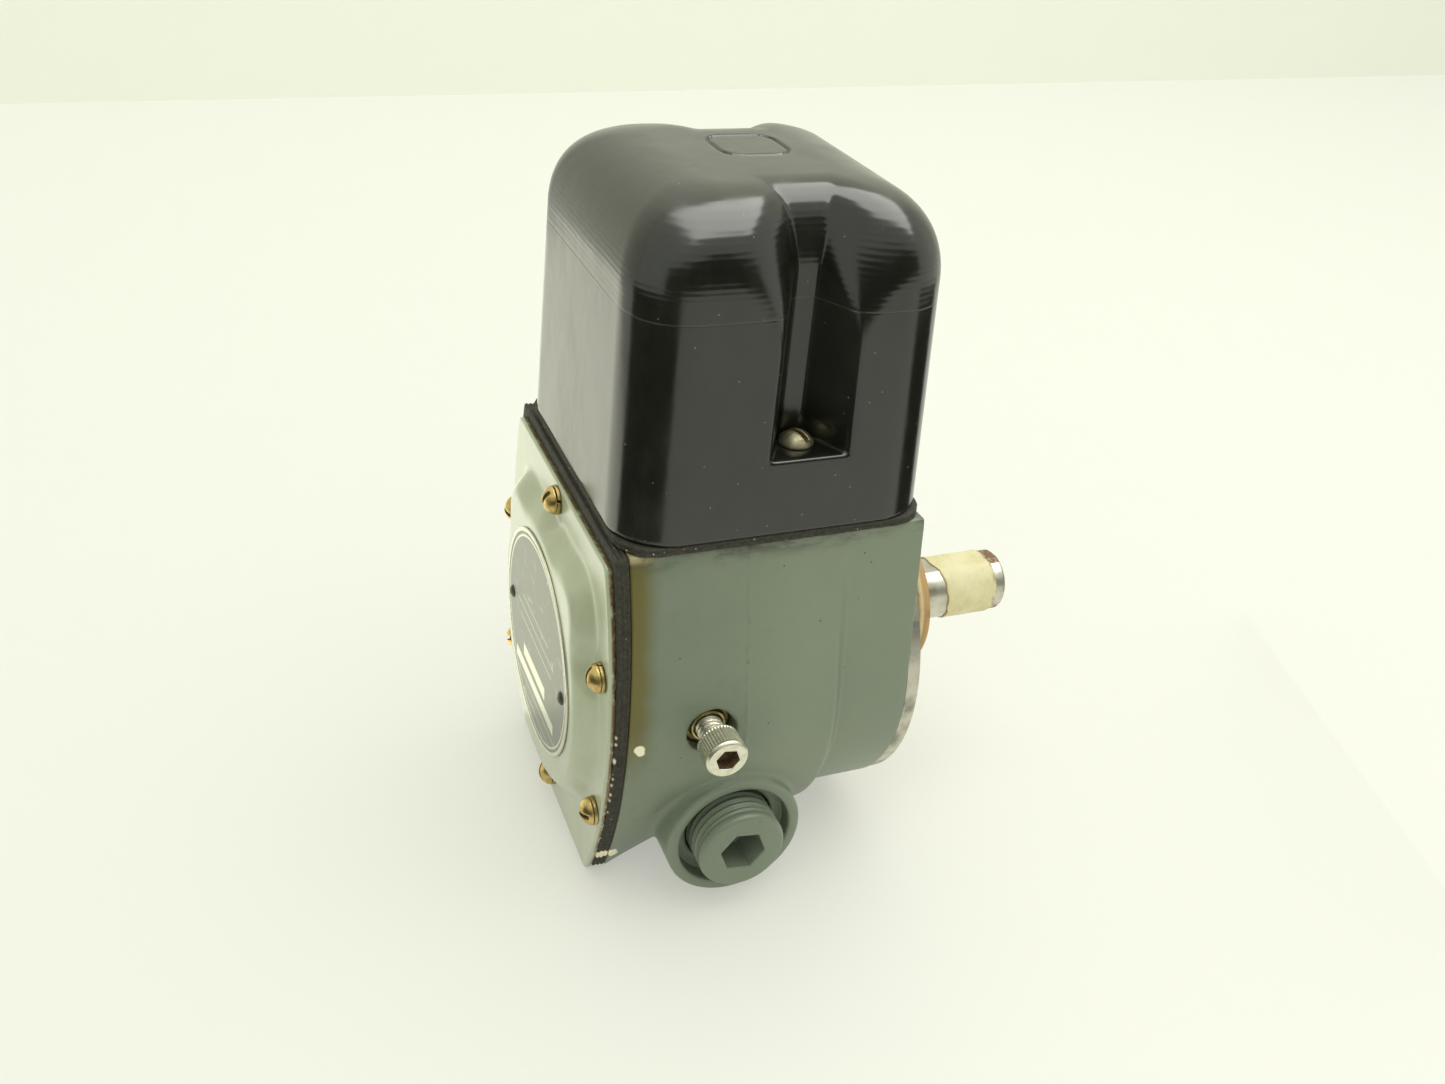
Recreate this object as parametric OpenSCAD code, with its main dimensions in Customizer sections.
// Rotary-shaft limit switch: a cast drum case with a bolted end plate, a moulded
// contact cover on top and a 5/8 inch operating shaft.
// +X runs out along the shaft, +Z up towards the contact cover. The origin is on
// the shaft axis, at the mounting face of the bearing flange.

/* [Case] */
// Distance from the mounting face to the outer face of the end plate
case_depth = 75; // [72:1:80]
// Radius of the drum, the widest round part of the casting
drum_r = 45.7; // [45:0.1:46.5]
// Radius of the neck between the drum and the bearing flange
neck_r = 42.6; // [42:0.1:43.5]
// Height of the flat top of the casting above the shaft axis
case_top = 46.5; // [46:0.5:48]
// Half width of the flat top
top_half = 37.3; // [36.5:0.1:38]
// Wall thickness of the casting
case_wall = 4; // [3.5:0.5:4.5]

/* [Shaft] */
// Diameter of the free shaft end
shaft_d = 15.875; // [15:0.125:16]
// Diameter of the journal that runs in the bushings
journal_d = 15; // [14.5:0.1:15]
// How far the shaft end stands out of the mounting face
shaft_reach = 45.6; // [40:0.2:60]
// Depth of the flat along the top of the free end
shaft_flat = 0.66; // [0.3:0.02:1.2]

/* [Contact cover] */
// Height of the moulded cover
cover_h = 68; // [66:0.1:69]
// Half width of the cover at its foot
cover_half = 38.9; // [38.5:0.1:39.5]
// Wall thickness of the cover
cover_wall = 3; // [2.5:0.5:3.5]
// Height of the screw ledge above the foot of the cover
ledge_h = 16.8; // [14:0.2:20]

/* [Cam drive] */
// Turn of the shaft from rest to the end stop, degrees
shaft_turn = 60; // [30:5:60]
// Base radius of the involute cams, which is also the offset of both followers
cam_base = 3.8; // [3.4:0.1:4]
// Distance from the cam's tangent point to the follower at rest
cam_start = 15; // [14.5:0.1:15.5]

/* [Adjuster] */
// How far the underside of the adjusting screw's head stands out of the case
adjuster_out = 3.2; // [1:0.2:5]

/* [Hidden] */

$fn = 64;
hull_fn = 32;
eps = 0.01;
fit = 0.05;
running = 0.03;

// Paint and metal colours
case_paint = "#6f7f72";
plate_paint = "#a3b191";
black_plastic = "#1a1b18";
zinc_yellow = "#b49a55";
nickel = "#b9b6a6";
steel = "#8d8b84";
brass = "#b08d45";
bronze = "#9a6b3c";
phenolic = "#4a2c1c";
dark_rubber = "#2e2f2a";

// Stations along X
plate_x = -case_depth;
plate_t = 1.5;
gasket_t = 3;
cast_x0 = plate_x + plate_t + gasket_t;
flange_t = 3.1;
cast_x1 = -flange_t;
parting_x = -44.4;
shoulder_x0 = -24;
shoulder_x1 = -19;

// Sections of the casting
foot_z = -45.6;
foot_half = 29.5;
bow_half = 42.8;
bow_z = 5;
bottom_steps = 4;
side_steps = 22;
top_steps = 3;

// The circle through three points, as [centre y, centre z, radius]
function circle3(a, b, c) =
    let (p = b - a, q = c - a, d = 2 * (p[0] * q[1] - p[1] * q[0]),
         u = [q[1] * (p * p) - p[1] * (q * q), p[0] * (q * q) - q[0] * (p * p)] / d)
    [a[0] + u[0], a[1] + u[1], norm(u)];
// Distance along a ray from the axis, at angle a, to a circle that holds the axis
function ray_circle(a, c) =
    let (p = c[0] * cos(a) + c[1] * sin(a))
    p + sqrt(p * p - c[0] * c[0] - c[1] * c[1] + c[2] * c[2]);
function corner_angle(p) = atan2(p[1], p[0]);

top_corner = [top_half, case_top];
foot_corner = [foot_half, foot_z];
case_bow = circle3(top_corner, [bow_half, bow_z], foot_corner);
top_a = corner_angle(top_corner);
foot_a = corner_angle(foot_corner);

// Reach of the section at the end plate: bowed sides and a flat foot
function foot_reach(a) =
    a > top_a ? case_top / sin(a) :
    a < foot_a ? foot_z / sin(a) : ray_circle(a, case_bow);
function mix(p, q, t) = p * (1 - t) + q * t;
side_angles = concat(
    [for (i = [0:bottom_steps]) mix(-90, foot_a, i / bottom_steps)],
    [for (i = [1:side_steps]) mix(foot_a, top_a, i / side_steps)],
    [for (i = [1:top_steps]) mix(top_a, 90, i / top_steps)]);
side_count = len(side_angles);
ring_angles = concat(side_angles, [for (i = [side_count - 2:-1:1]) 180 - side_angles[i]]);
function fold(a) = a > 90 ? 180 - a : a;
// The casting's outline at the end plate, as [y, z] points
function foot_outline(inset) =
    [for (a = ring_angles) (foot_reach(fold(a)) - inset) * [cos(a), sin(a)]];
// Where a flank from the top corner dips just under a drum of radius r
function flank_dip(r) =
    let (a = top_a - acos(r / norm(top_corner)))
    (r - 0.3) * [cos(a), sin(a)];

// A closed solid through rings of equal length
module loft(rings) {
    n = len(rings[0]);
    last = len(rings) - 1;
    polyhedron(
        points = [for (ring = rings) each ring],
        faces = concat(
            [[for (j = [0:n - 1]) j]],
            [[for (j = [n - 1:-1:0]) last * n + j]],
            [for (i = [0:last - 1]) for (j = [0:n - 1])
                let (k = (j + 1) % n, a = i * n) each [
                    [a + j, a + n + j, a + n + k],
                    [a + j, a + n + k, a + k]]]));
}

// A cylinder along +X, from x0 to x1
module rod_x(x0, x1, r, y = 0, z = 0) {
    translate([x0, y, z]) rotate([0, 90, 0]) cylinder(r = r, h = x1 - x0);
}
// A cylinder along Y, from y0 to y1
module rod_y(y0, y1, r, x, z) {
    translate([x, y1, z]) rotate([90, 0, 0]) cylinder(r = r, h = y1 - y0);
}
module rod_z(z0, z1, r, x, y) {
    translate([x, y, z0]) cylinder(r = r, h = z1 - z0);
}
module tube_x(x0, x1, r_in, r_out) {
    difference() {
        rod_x(x0, x1, r_out);
        rod_x(x0 - 1, x1 + 1, r_in);
    }
}
// A box from its low corner to its high corner
module box(a, b) {
    translate(a) cube(b - a);
}

// --- end plate screws ------------------------------------------------------
// Places of the screws round the end plate, as [y, z]
plate_holes = [[0, 40], [-36.5, 17.2], [36.5, 17.2], [-35, -21.3], [35, -21.3], [0, -39]];
screw_r = 2.05;
head_r = 3.35;
head_h = 2.6;
washer_t = 1;
slot_w = 1.1;
slot_depth = 1.6;
boss_len = 11;

// A slotted round head on top of z = 0, with its shank below
module round_head_screw(r_head, h_head, r_shank, len, slot_turn = 0) {
    ball_r = (r_head * r_head + h_head * h_head) / (2 * h_head);
    difference() {
        union() {
            intersection() {
                translate([0, 0, h_head - ball_r]) sphere(r = ball_r);
                cylinder(r = r_head, h = h_head + 1);
            }
            translate([0, 0, -len]) cylinder(r = r_shank, h = len + eps);
        }
        rotate([0, 0, slot_turn])
            translate([-r_head - 1, -slot_w / 2, h_head - slot_depth])
            cube([2 * r_head + 2, slot_w, slot_depth + 1]);
    }
}

// --- cover -----------------------------------------------------------------
cover_gasket_t = 2;
cover_z0 = case_top + cover_gasket_t;
cover_z1 = cover_z0 + cover_h;
cover_x0 = -72.7;
cover_x1 = -2.5;
cover_corner_r = 12.5;
cover_dome_r = 18.5;
cover_draft = 1.6;
contact_x = -33.5;
channel_floor_y = 27;
channel_floor_half = 2.5;
channel_mouth_half = 9;
ledge_z = cover_z0 + ledge_h;
cover_screw_y = 30.8;
cover_screw_r = 2.05;
cover_screw_reach = 10;

// The moulded shape: a drafted box with rounded corners and a domed top
module cover_form(inset, z0, top_z) {
    r0 = cover_corner_r - inset / 2;
    r1 = cover_dome_r - inset;
    hull() {
        for (x = [cover_x0 + r0 + inset, cover_x1 - r0 - inset], s = [-1, 1])
            translate([x, s * (cover_half - r0 - inset), z0])
            cylinder(r = r0, h = 0.5, $fn = hull_fn);
        for (r = [r0, r1], e = [[cover_x0, 1], [cover_x1, -1]], s = [-1, 1])
            translate([e[0] + e[1] * (r + inset + cover_draft),
                       s * (cover_half - r - inset - cover_draft), top_z - r1])
            sphere(r = r, $fn = hull_fn);
    }
}
// Plan of the front screw channel, widened by grow on its floor and flanks
module channel_plan(grow) {
    slope = (channel_mouth_half - channel_floor_half) / (cover_half - channel_floor_y);
    far = cover_half + 5;
    far_half = channel_floor_half + slope * (far - channel_floor_y) + grow;
    near = channel_floor_y - grow;
    polygon([[contact_x - channel_floor_half - grow * 0.75, -near],
             [contact_x + channel_floor_half + grow * 0.75, -near],
             [contact_x + far_half, -far],
             [contact_x - far_half, -far]]);
}

// --- internal places -------------------------------------------------------
free_r = shaft_d / 2;
journal_r = journal_d / 2;
hub_r = 16;
hub_x = 13.7;
wear_washer_t = 3.2;
shoulder_x = hub_x + wear_washer_t + 0.1;
shaft_x0 = -60;
shaft_chamfer = 0.8;
bushing_r = 11.1;
barrel_r = 15;
barrel_x = -28;
spigot_x = -12;
spigot_r = 33;
flange_r = 42.3;
flange_screw_r = 37.8;
mount_pcd = 60;
mount_hole_r = 2.6;
mount_hole_depth = 10;

cam_gap = 0.15;
cam_disc_r = 12.5;
cam_w = 8;
trip_x = contact_x;
adjuster_x = -52.2;
follower_y = cam_base;
lift = cam_base * shaft_turn * PI / 180;
roller_r = 5;
roller_w = 5.6;
pin_r = 1.5;
roller_z = cam_start + cam_gap + roller_r;
rod_r = 3;
clevis_z = 29;
guide_r = 6;
guide_z0 = 40;
guide_z1 = 55.5;

base_t = 7.5;
base_z = case_top + base_t;
base_half_x = 22;
base_half_y = 20;
pillar_x = 14;
lower_step_z = 70;
strip_t = 1.2;
tip_h = 0.8;
tip_r = 2.2;
tip_x = 10.5;
touch_gap = 0.05;
bridge_z0 = lower_step_z + strip_t + tip_h + touch_gap;
bridge_z1 = bridge_z0 + strip_t;
upper_tip_z = bridge_z1 + lift + touch_gap;
upper_step_z = upper_tip_z + tip_h;
carrier_z0 = 66;
carrier_roof_z = upper_step_z + 2;
carrier_z1 = carrier_roof_z + 6;
rod_top_z = carrier_z1 + 5;
terminal_x = 18;

// --- housing ---------------------------------------------------------------
// Flat top and straight flanks over a drum of radius r
module flanks(r) {
    polygon([flank_dip(r), top_corner,
             [-top_corner[0], top_corner[1]], [-flank_dip(r)[0], flank_dip(r)[1]]]);
}
module drum(x0, x1, r) {
    rod_x(x0, x1, r);
    across(x0, x1 - x0) flanks(r);
}
module case_outer() {
    hull() {
        across(cast_x0, eps) polygon(foot_outline(0));
        drum(parting_x + 1, parting_x + 1 + eps, drum_r - 0.1);
    }
    drum(parting_x, shoulder_x0, drum_r);
    hull() {
        drum(shoulder_x0 - eps, shoulder_x0, drum_r - 0.02);
        drum(shoulder_x1, shoulder_x1 + eps, neck_r - 0.02);
    }
    drum(shoulder_x0 - 1, cast_x1, neck_r);
}
// The hollow: a mouth that leaves room for the plate screws, the drum, and the neck
module case_cavity() {
    rod_x(cast_x0 - 1, mouth_x, mouth_r);
    rod_x(mouth_x - eps, cavity_x, cavity_r);
    rod_x(cavity_x - eps, cast_x1 + 1, spigot_r + fit);
}
mouth_x = cast_x0 + boss_len + 1;
mouth_r = 36;
cavity_x = shoulder_x0 - 2;
cavity_r = drum_r - case_wall - 1.7;

// Conduit entry, on the parting plane, looking out along -Y
conduit_x = parting_x;
conduit_z = -27.9;
conduit_boss_r = 16.3;
conduit_face_y = -45.6;
conduit_recess_r = 13.5;
conduit_recess_y = -41.6;
plug_r = 10.35;
plug_r_in = 9.95;
plug_y0 = -50.9;
plug_y1 = -35.5;
plug_hex = 9.52;
plug_hex_turn = 9;
plug_hex_depth = 8.5;

// Adjuster, looking out along -Y, level with the tangent point of the return cam
adjuster_z = cam_base;
adjuster_hole_r = 5.6;
adjuster_face_y = -44.8;
barrel_y0 = adjuster_face_y + 2.2;
barrel_y1 = -20.6;
barrel_wall = 2;
thread_r = 3.175;
cap_r = 4.76;
cap_h = 6.35;
cap_y = adjuster_face_y - adjuster_out;
screw_tip_y = -38;
shoe_r = 2.05;
collar_r = 3.05;
button_t = 1.2;

module housing() {
    color(case_paint)
    difference() {
        union() {
            difference() {
                union() {
                    case_outer();
                    rod_y(conduit_face_y, -14, conduit_boss_r, conduit_x, conduit_z);
                }
                case_cavity();
            }
            rod_y(-42, -31, 9, adjuster_x, adjuster_z);
        }
        for (p = plate_holes)
            rod_x(cast_x0 - 1, cast_x0 + boss_len, screw_r + fit, p[0], p[1]);
        for (s = [-1, 1])
            rod_z(35, case_top + 1, cover_screw_r + fit, contact_x, s * cover_screw_y);
        for (i = [0:3]) rotate([90 * i + 45, 0, 0])
            rod_x(cast_x1 - 13, cast_x1 + 1, screw_r + fit, 0, flange_screw_r);
        rod_y(-60, -20, adjuster_hole_r, adjuster_x, adjuster_z);
        rod_y(-60, -20, plug_r + fit, conduit_x, conduit_z);
        rod_y(-60, conduit_recess_y, conduit_recess_r, conduit_x, conduit_z);
        // Window for the wires, and the holes of the contact base
        box([-67, -16, 30], [-58, 16, case_top + 1]);
        rod_z(guide_z0 - 4, case_top + 1, guide_r + fit, contact_x, follower_y);
        for (p = base_holes) rod_z(32, case_top + 1, screw_r + fit, contact_x + p[0], p[1]);
    }
}

module bearing_flange() {
    color(steel)
    difference() {
        union() {
            rod_x(-flange_t, 0, flange_r);
            rod_x(spigot_x, -flange_t + eps, spigot_r);
            rod_x(barrel_x, spigot_x + eps, barrel_r);
            rod_x(-eps, hub_x, hub_r);
        }
        rod_x(barrel_x - 1, hub_x + 1, journal_r + 1);
        rod_x(barrel_x - 1, -15, bushing_r + running);
        rod_x(-9, hub_x + 1, bushing_r + running);
        rod_x(7, hub_x + 1, seal_r + running);
        for (i = [0:3]) rotate([90 * i, 0, 0])
            rod_x(-mount_hole_depth, 1, mount_hole_r, 0, mount_pcd / 2);
        for (i = [0:3]) rotate([90 * i + 45, 0, 0]) {
            rod_x(-flange_t - 1, 1, screw_r + fit + 0.1, 0, flange_screw_r);
            translate([-csk_h, 0, flange_screw_r]) rotate([0, 90, 0])
                cylinder(r1 = screw_r + 0.1, r2 = csk_r + 0.1, h = csk_h + eps);
        }
    }
}
seal_r = 12.7;
csk_r = 3.9;
csk_h = 2;

module flange_screws() {
    color(steel)
    for (i = [0:3]) rotate([90 * i + 45, 0, 0])
        difference() {
            union() {
                translate([-csk_h, 0, flange_screw_r]) rotate([0, 90, 0])
                    cylinder(r1 = screw_r, r2 = csk_r - 0.1, h = csk_h - 0.1);
                rod_x(-14, -csk_h + eps, screw_r, 0, flange_screw_r);
            }
            box([-1, -csk_r - 1, flange_screw_r - slot_w / 2], [1, csk_r + 1, flange_screw_r + slot_w / 2]);
        }
}

// --- end plate -------------------------------------------------------------
edge_top = 43.8;
edge_top_half = 35.5;
edge_foot = -45.5;
edge_foot_half = 29;
edge_half = 42;
edge_bow = circle3([edge_top_half, edge_top], [edge_half, bow_z], [edge_foot_half, edge_foot]);
edge_steps = 20;
dome_h = 4.4;
dome_foot_r = 34;
dome_r = 29.6;
shoulder_y = 20;
shoulder_z = 24;
shoulder_foot_r = 10;
shoulder_r = 5.6;
// Right side of the plate's outline, from its foot to its top corner
edge_right = [for (i = [0:edge_steps])
    let (z = mix(edge_foot, edge_top, i / edge_steps))
    [edge_bow[0] + sqrt(edge_bow[2] * edge_bow[2] - (z - edge_bow[1]) * (z - edge_bow[1])), z]];
edge_points = concat(edge_right, [for (i = [edge_steps:-1:0]) [-edge_right[i][0], edge_right[i][1]]]);
// Lays a shape drawn in (y, z) into the plane across the shaft, thickness towards +X
module across(x, t) {
    translate([x, 0, 0]) rotate([90, 0, 90]) linear_extrude(height = t) children();
}
module dome_slice(x, r, corner_r, t) {
    across(x, t) {
        circle(r = r);
        for (s = [-1, 1]) translate([s * shoulder_y, shoulder_z]) circle(r = corner_r);
    }
}
module dome_form(x, grow) {
    hull() {
        dome_slice(x + 0.02, dome_foot_r + grow, shoulder_foot_r + grow, 0.02);
        dome_slice(x - dome_h, dome_r + grow, shoulder_r + grow, 0.02);
    }
}
module end_plate() {
    color(plate_paint)
    difference() {
        union() {
            across(plate_x, plate_t) polygon(edge_points);
            dome_form(plate_x, 0);
        }
        translate([plate_t, 0, 0]) dome_form(plate_x + eps, -0.6);
        for (p = plate_holes) rod_x(plate_x - 1, plate_x + plate_t + 1, screw_r + 0.25, p[0], p[1]);
        for (s = [-1, 1]) rod_x(plate_x - 8, plate_x + 2, tag_pin_r + 0.02, s * tag_pin_y, tag_z);
    }
}
tag_z = 2;
tag_r = 27.4;
tag_t = 0.5;
tag_pin_y = 22.4;
tag_pin_r = 1.1;

module plate_gasket() {
    color(dark_rubber)
    difference() {
        across(cast_x0 - gasket_t, gasket_t) difference() {
            polygon(foot_outline(0.3));
            circle(r = mouth_r);
        }
        for (p = plate_holes)
            rod_x(cast_x0 - gasket_t - 1, cast_x0 + 1, screw_r + 0.25, p[0], p[1]);
    }
}

module plate_screws() {
    color(zinc_yellow)
    for (i = [0:len(plate_holes) - 1])
        translate([plate_x - washer_t, plate_holes[i][0], plate_holes[i][1]])
        rotate([0, -90, 0])
        round_head_screw(head_r, head_h, screw_r, 14, 37 * i + 20);
}

module plate_lock_washers() {
    color(zinc_yellow)
    for (i = [0:len(plate_holes) - 1])
        translate([plate_x - washer_t, plate_holes[i][0], plate_holes[i][1]])
        rotate([0, 90, 0])
        difference() {
            cylinder(r = head_r - 0.1, h = washer_t);
            translate([0, 0, -1]) cylinder(r = screw_r + 0.15, h = washer_t + 2);
            rotate([0, 0, 63 * i + 30]) translate([0, -0.2, -1]) cube([head_r + 1, 0.4, washer_t + 2]);
        }
}

module nameplate() {
    color("#8f948a")
    difference() {
        rod_x(plate_x - dome_h - tag_t, plate_x - dome_h, tag_r, 0, tag_z);
        for (s = [-1, 1])
            rod_x(plate_x - dome_h - 2, plate_x, tag_pin_r + 0.02, s * tag_pin_y, tag_z);
    }
}

module nameplate_pins() {
    color("#33332e")
    for (s = [-1, 1]) {
        rod_x(plate_x - dome_h - tag_t, plate_x + 1, tag_pin_r, s * tag_pin_y, tag_z);
        translate([plate_x - dome_h - tag_t, s * tag_pin_y, tag_z]) rotate([0, -90, 0])
            intersection() {
                translate([0, 0, -1.6]) sphere(r = 2.3);
                cylinder(r = 1.6, h = 1);
            }
    }
}

// --- contact cover and its screws -----------------------------------------
module contact_cover() {
    color(black_plastic)
    difference() {
        cover_form(0, cover_z0, cover_z1);
        difference() {
            translate([0, 0, -eps]) cover_form(cover_wall, cover_z0, cover_z1 - cover_wall);
            for (s = [0, 1]) mirror([0, s, 0])
                translate([0, 0, cover_z0 - 1]) linear_extrude(height = cover_h + 5)
                channel_plan(cover_wall);
        }
        for (s = [0, 1]) mirror([0, s, 0]) {
            translate([0, 0, ledge_z]) linear_extrude(height = cover_h) channel_plan(0);
            rod_z(cover_z0 - 1, ledge_z + 1, cover_screw_r + 0.2, contact_x, -cover_screw_y);
        }
    }
}

module cover_gasket() {
    color(dark_rubber)
    translate([0, 0, case_top]) linear_extrude(height = cover_gasket_t) difference() {
        union() {
            difference() {
                cover_outline(0.4, 9);
                cover_outline(6.5, 6);
            }
            for (s = [-1, 1]) translate([contact_x, s * (cover_screw_y - 0.5)]) circle(r = 5.4);
        }
        for (s = [-1, 1])
            translate([contact_x, s * cover_screw_y]) circle(r = cover_screw_r + 0.2);
    }
}
// The cover's plan at its foot, inset, with corners of radius r
module cover_outline(inset, r) {
    difference() {
        translate([cover_x0 + inset, -cover_half + inset])
            square([cover_x1 - cover_x0 - 2 * inset, 2 * (cover_half - inset)]);
        for (x = [0, 1], y = [0, 1])
            translate([x == 0 ? cover_x0 + inset + r : cover_x1 - inset - r,
                       (y == 0 ? -1 : 1) * (cover_half - inset - r)])
            mirror([x, 0]) mirror([0, y])
            difference() {
                translate([-r - 1, -r - 1]) square(r + 1);
                circle(r = r);
            }
    }
}

module cover_screws() {
    color(nickel)
    for (s = [-1, 1])
        translate([contact_x, s * cover_screw_y, ledge_z])
        round_head_screw(3.85, 2.8, cover_screw_r, ledge_z - case_top + cover_screw_reach, 120);
}

// --- conduit plug ----------------------------------------------------------
module conduit_plug() {
    color(case_paint)
    difference() {
        union() {
            translate([conduit_x, plug_y1, conduit_z]) rotate([90, 0, 0])
                cylinder(r1 = plug_r_in, r2 = plug_r, h = plug_y1 - plug_y0 - 1);
            translate([conduit_x, plug_y0 + 1, conduit_z]) rotate([90, 0, 0])
                cylinder(r1 = plug_r, r2 = plug_r - 0.8, h = 1);
        }
        translate([conduit_x, plug_y0 + plug_hex_depth, conduit_z]) rotate([90, plug_hex_turn, 0])
            cylinder(r = plug_hex / sqrt(3), h = plug_hex_depth + 1, $fn = 6);
    }
}

// --- adjuster --------------------------------------------------------------
module adjuster_bushing() {
    color(brass)
    difference() {
        union() {
            rod_y(barrel_y0 + 1.6, barrel_y1, adjuster_hole_r - fit, adjuster_x, adjuster_z);
            rod_y(barrel_y0, barrel_y0 + 1.6 + eps, 4.1, adjuster_x, adjuster_z);
        }
        rod_y(-60, barrel_y1 - barrel_wall, thread_r + fit, adjuster_x, adjuster_z);
        rod_y(-60, 0, shoe_r + fit, adjuster_x, adjuster_z);
    }
}

module adjuster_screw() {
    color(nickel)
    difference() {
        union() {
            rod_y(cap_y, screw_tip_y, thread_r, adjuster_x, adjuster_z);
            translate([adjuster_x, cap_y, adjuster_z]) rotate([90, 0, 0]) {
                cylinder(r = cap_r, h = cap_h - 0.6);
                translate([0, 0, cap_h - 0.6]) cylinder(r1 = cap_r, r2 = cap_r - 0.6, h = 0.6);
            }
        }
        translate([adjuster_x, cap_y - cap_h + 3.2, adjuster_z]) rotate([90, 0, 0])
            cylinder(r = 4.76 / sqrt(3), h = 5, $fn = 6);
    }
}

module spring_button() {
    color(steel)
    rod_y(screw_tip_y + 0.02, screw_tip_y + button_t, collar_r, adjuster_x, adjuster_z);
}

shoe_tip_y = -cam_start - cam_gap;
shoe_collar_y = barrel_y1 - barrel_wall - 0.1;
shoe_collar_t = 1.8;
module return_shoe() {
    color(steel) {
        intersection() {
            rod_y(shoe_collar_y - 1, shoe_tip_y + 1, shoe_r, adjuster_x, adjuster_z);
            translate([adjuster_x, shoe_tip_y - 12, adjuster_z]) sphere(r = 12);
        }
        rod_y(shoe_collar_y - shoe_collar_t, shoe_collar_y, collar_r, adjuster_x, adjuster_z);
    }
}

// A coil spring as a closed tube swept along a helix, axis +Z, ground flat on no face
coil_sides = 8;
function coil_ring(a, r, wire, pitch) =
    [for (k = [0:coil_sides - 1])
        let (b = 360 * k / coil_sides, q = r + wire / 2 * cos(b))
        [q * cos(a), q * sin(a), pitch * a / 360 + wire / 2 * sin(b)]];
module coil(r, wire, len, turns) {
    step = 30;
    pitch = (len - wire) / turns;
    translate([0, 0, wire / 2])
        loft([for (a = [0:step:360 * turns]) coil_ring(a, r, wire, pitch)]);
}

adjuster_spring_len = shoe_collar_y - shoe_collar_t - screw_tip_y - button_t - 0.1;
module adjuster_spring() {
    color(steel)
    translate([adjuster_x, screw_tip_y + button_t + 0.05, adjuster_z]) rotate([-90, 0, 0])
        coil(2.55, 0.7, adjuster_spring_len, 5);
}

// --- shaft group -----------------------------------------------------------
ring_groove_x = barrel_x - 1.3;
flat_runout = 0.5;
module shaft() {
    color(steel)
    difference() {
        union() {
            rod_x(shaft_x0, shoulder_x, journal_r);
            rod_x(shoulder_x, shaft_reach - shaft_chamfer, free_r);
            translate([shaft_reach - shaft_chamfer, 0, 0]) rotate([0, 90, 0])
                cylinder(r1 = free_r, r2 = free_r - shaft_chamfer, h = shaft_chamfer);
        }
        box([shoulder_x - flat_runout, -free_r, free_r - shaft_flat], [shaft_reach + 1, free_r, free_r + 1]);
        tube_x(ring_groove_x, ring_groove_x + 1.1, journal_r - 0.7, journal_r + 1);
    }
}

tape_x0 = 26.6;
tape_x1 = 42.2;
tape_t = 0.2;
tape_slant = 8;
module shaft_tape() {
    color("#e4dca8")
    difference() {
        intersection() {
            tube_x(tape_x0 - 4, tape_x1 + 4, free_r + 0.01, free_r + tape_t);
            translate([tape_x0, 0, 0]) rotate([0, tape_slant, 0]) box([0, -20, -20], [14.6, 20, 20]);
        }
        box([0, -free_r, free_r - shaft_flat + tape_t], [60, free_r, free_r + 1]);
    }
}

module wear_washer() {
    color("#c08a4a") tube_x(hub_x + 0.05, hub_x + wear_washer_t, journal_r + fit, 17.9);
}
module oil_seal() {
    color(dark_rubber) tube_x(7.1, hub_x - 0.1, journal_r + fit, seal_r);
}
module front_bushing() {
    color(bronze) tube_x(-8.9, 6.9, journal_r + running, bushing_r);
}
module rear_bushing() {
    color(bronze) tube_x(barrel_x, -15.1, journal_r + running, bushing_r);
}
module retaining_ring() {
    color(steel)
    difference() {
        tube_x(ring_groove_x + 0.05, ring_groove_x + 1.05, journal_r - 0.65, journal_r + 2);
        box([ring_groove_x - 1, -2, -20], [ring_groove_x + 2, 2, 0]);
    }
}

// Involute cam: the follower on the line y = cam_base moves along +Z by cam_base
// for each radian of turn, so the lift is in exact proportion to the turn
cam_lead = 6;
function cam_point(t) =
    let (s = cam_start + cam_base * t * PI / 180)
    [cam_base * cos(t) + s * sin(t), -cam_base * sin(t) + s * cos(t)];
module cam(x, turn) {
    difference() {
        rotate([turn, 0, 0]) union() {
            across(x - cam_w / 2, cam_w)
                polygon(concat([[0, 0]], [for (t = [-cam_lead:3:shaft_turn + cam_lead]) cam_point(t)]));
            rod_x(x - cam_w / 2, x + cam_w / 2, cam_disc_r);
        }
        rod_x(x - cam_w, x + cam_w, journal_r + 0.02);
        rotate([turn + cam_back, 0, 0]) rod_z(0, 40, set_r + 0.02, x, 0);
    }
}
cam_back = 137;
set_r = 2;
module trip_cam() {
    color(steel) cam(trip_x, 0);
}
module return_cam() {
    color(steel) cam(adjuster_x, 90);
}
module cam_set_screws() {
    color("#3a3a38")
    for (c = [[trip_x, 0], [adjuster_x, 90]])
        rotate([c[1] + cam_back, 0, 0]) difference() {
            rod_z(journal_r + 0.05, cam_disc_r - 0.2, set_r, c[0], 0);
            translate([c[0], 0, cam_disc_r - 2]) cylinder(r = 1.1, h = 5, $fn = 6);
        }
}

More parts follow.
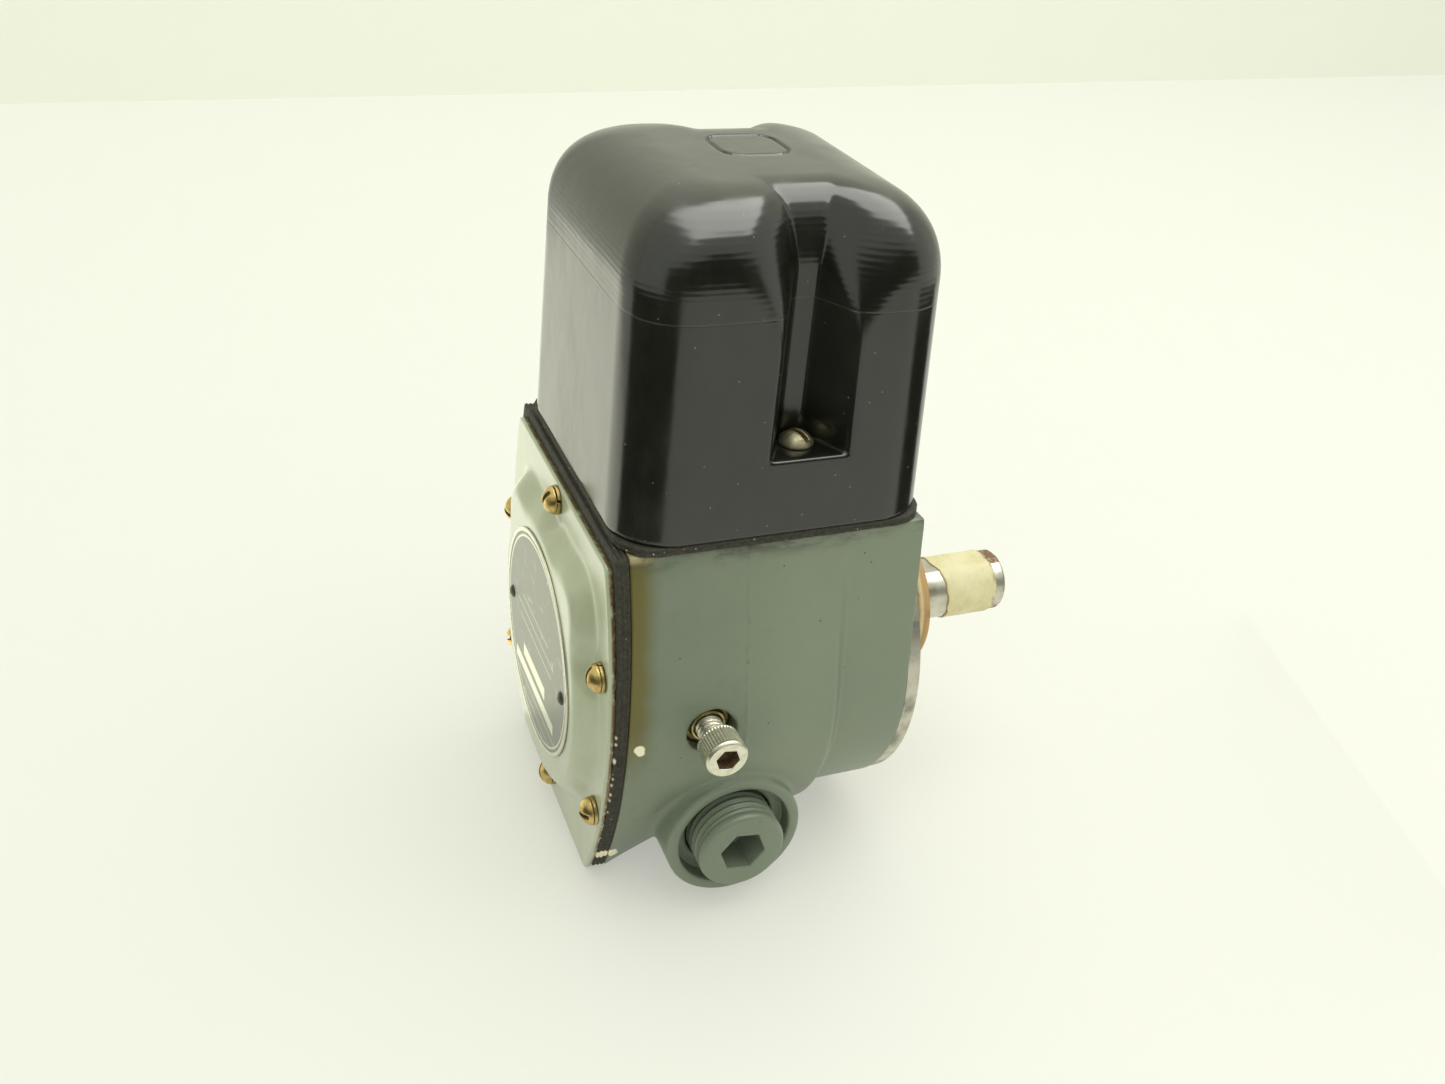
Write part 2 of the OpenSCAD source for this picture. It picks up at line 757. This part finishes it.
// --- lift rod group --------------------------------------------------------
module cam_roller() {
    color(steel)
    difference() {
        rod_x(trip_x - roller_w / 2, trip_x + roller_w / 2, roller_r, follower_y, roller_z);
        rod_x(trip_x - 10, trip_x + 10, pin_r + running, follower_y, roller_z);
    }
}
module roller_pin() {
    color(steel) rod_x(trip_x - 5, trip_x + 5, pin_r, follower_y, roller_z);
}
module lift_rod() {
    color(steel)
    difference() {
        union() {
            rod_z(clevis_z - 2, rod_top_z, rod_r, trip_x, follower_y);
            box([trip_x - 5, follower_y - 4, roller_z - 3.5], [trip_x + 5, follower_y + 4, clevis_z]);
        }
        box([trip_x - roller_w / 2 - 0.2, follower_y - 6, roller_z - 5],
            [trip_x + roller_w / 2 + 0.2, follower_y + 6, roller_z + roller_r + 0.6]);
        rod_x(trip_x - 10, trip_x + 10, pin_r + 0.01, follower_y, roller_z);
    }
}
module rod_guide() {
    color(brass)
    difference() {
        rod_z(guide_z0, guide_z1, guide_r, trip_x, follower_y);
        rod_z(guide_z0 - 1, guide_z1 + 1, rod_r + running, trip_x, follower_y);
    }
}
module lift_spring() {
    color(steel)
    translate([trip_x, follower_y, clevis_z + 0.05]) coil(4, 0.8, guide_z0 - clevis_z - 0.1, 4);
}

// --- contact block ---------------------------------------------------------
base_holes = [[-9, -15.5], [9, -15.5], [-9, 16], [9, 16]];
terminal_low_y = -11;
terminal_high_y = 15;
terminal_r = 1.7;
// Places of the terminal screws: [x offset, y, z of the seat]
terminals = [for (s = [-1, 1]) each [
    [s * terminal_x, terminal_low_y, lower_step_z + strip_t],
    [s * terminal_x, terminal_high_y, upper_step_z + strip_t]]];

module contact_base() {
    color(phenolic)
    difference() {
        translate([contact_x, 0, 0]) union() {
            box([-base_half_x, -base_half_y, case_top], [base_half_x, base_half_y, base_z]);
            for (s = [0, 1]) mirror([s, 0, 0]) {
                box([pillar_x, -base_half_y, base_z - eps], [base_half_x, base_half_y, lower_step_z]);
                box([pillar_x, 9.5, lower_step_z - eps], [base_half_x, base_half_y, upper_step_z]);
            }
        }
        rod_z(case_top - 1, base_z + 1, guide_r + fit, contact_x, follower_y);
        for (p = base_holes) rod_z(case_top - 1, base_z + 1, screw_r + 0.2, contact_x + p[0], p[1]);
        for (t = terminals) rod_z(t[2] - 10, t[2] + 1, terminal_r + fit, contact_x + t[0], t[1]);
    }
}
module base_screws() {
    color(zinc_yellow)
    for (p = base_holes)
        translate([contact_x + p[0], p[1], base_z]) round_head_screw(head_r, 2.4, screw_r, 11, 30);
}
carrier_half = 6;
module contact_carrier() {
    color(phenolic)
    difference() {
        box([contact_x - carrier_half, follower_y - 8, carrier_z0],
            [contact_x + carrier_half, follower_y + 8, carrier_z1]);
        box([contact_x - 20, follower_y - 5.2, bridge_z0 - 0.02],
            [contact_x + 20, follower_y + 5.2, carrier_roof_z]);
        rod_z(carrier_z0 - 1, carrier_z1 + 1, rod_r + 0.02, contact_x, follower_y);
    }
}
module carrier_nut() {
    color(steel)
    difference() {
        translate([contact_x, follower_y, carrier_z1 + 0.05]) cylinder(r = 5.5, h = 3.2, $fn = 6);
        rod_z(carrier_z1 - 1, carrier_z1 + 6, rod_r + 0.01, contact_x, follower_y);
    }
}
module bridge_contact() {
    color("#b87333")
    difference() {
        box([contact_x - 13, follower_y - 4.8, bridge_z0], [contact_x + 13, follower_y + 4.8, bridge_z1]);
        rod_z(bridge_z0 - 1, bridge_z1 + 1, rod_r + 0.2, contact_x, follower_y);
    }
}
module contact_spring() {
    color(steel)
    translate([contact_x, follower_y, bridge_z1 + 0.05])
        coil(4, 0.7, carrier_roof_z - bridge_z1 - 0.1, 3);
}
module strip(x0, x1, y0, y1, z) {
    difference() {
        box([x0, y0, z], [x1, y1, z + strip_t]);
        for (t = terminals) rod_z(t[2] - 10, t[2] + 5, terminal_r + fit, t[0], t[1]);
    }
}
module lower_contacts() {
    color(brass)
    translate([contact_x, 0, 0])
        for (s = [0, 1]) mirror([s, 0, 0])
            strip(8, base_half_x - 0.5, -base_half_y + 4, 8.2, lower_step_z + 0.01);
}
module upper_contacts() {
    color(brass)
    translate([contact_x, 0, 0])
        for (s = [0, 1]) mirror([s, 0, 0])
            strip(8, base_half_x - 0.5, -0.5, base_half_y - 0.5, upper_step_z + 0.01);
}
module contact_tips() {
    color("#d8d8d2")
    for (s = [-1, 1]) {
        x = contact_x + s * tip_x;
        rod_z(lower_step_z + strip_t + 0.01, bridge_z0 - touch_gap, tip_r, x, follower_y);
        rod_z(upper_tip_z, upper_step_z, tip_r, x, follower_y);
    }
}
clamp_t = 1;
module wire_clamps() {
    color(zinc_yellow)
    for (t = terminals)
        translate([contact_x + t[0], t[1], t[2] + 0.02]) difference() {
            translate([-3.8, -3.8, 0]) cube([7.6, 7.6, clamp_t]);
            translate([0, 0, -1]) cylinder(r = terminal_r + 0.1, h = clamp_t + 2);
        }
}
module terminal_screws() {
    color(zinc_yellow)
    for (t = terminals)
        translate([contact_x + t[0], t[1], t[2] + clamp_t + 0.04])
        round_head_screw(3.4, 2, terminal_r, 9, 45);
}

housing();
bearing_flange();
flange_screws();
end_plate();
plate_gasket();
plate_screws();
plate_lock_washers();
nameplate();
nameplate_pins();
contact_cover();
cover_gasket();
cover_screws();
conduit_plug();
adjuster_bushing();
adjuster_screw();
spring_button();
adjuster_spring();
return_shoe();
shaft();
shaft_tape();
wear_washer();
oil_seal();
front_bushing();
rear_bushing();
retaining_ring();
trip_cam();
return_cam();
cam_set_screws();
cam_roller();
roller_pin();
lift_rod();
rod_guide();
lift_spring();
contact_base();
base_screws();
contact_carrier();
carrier_nut();
bridge_contact();
contact_spring();
lower_contacts();
upper_contacts();
contact_tips();
wire_clamps();
terminal_screws();
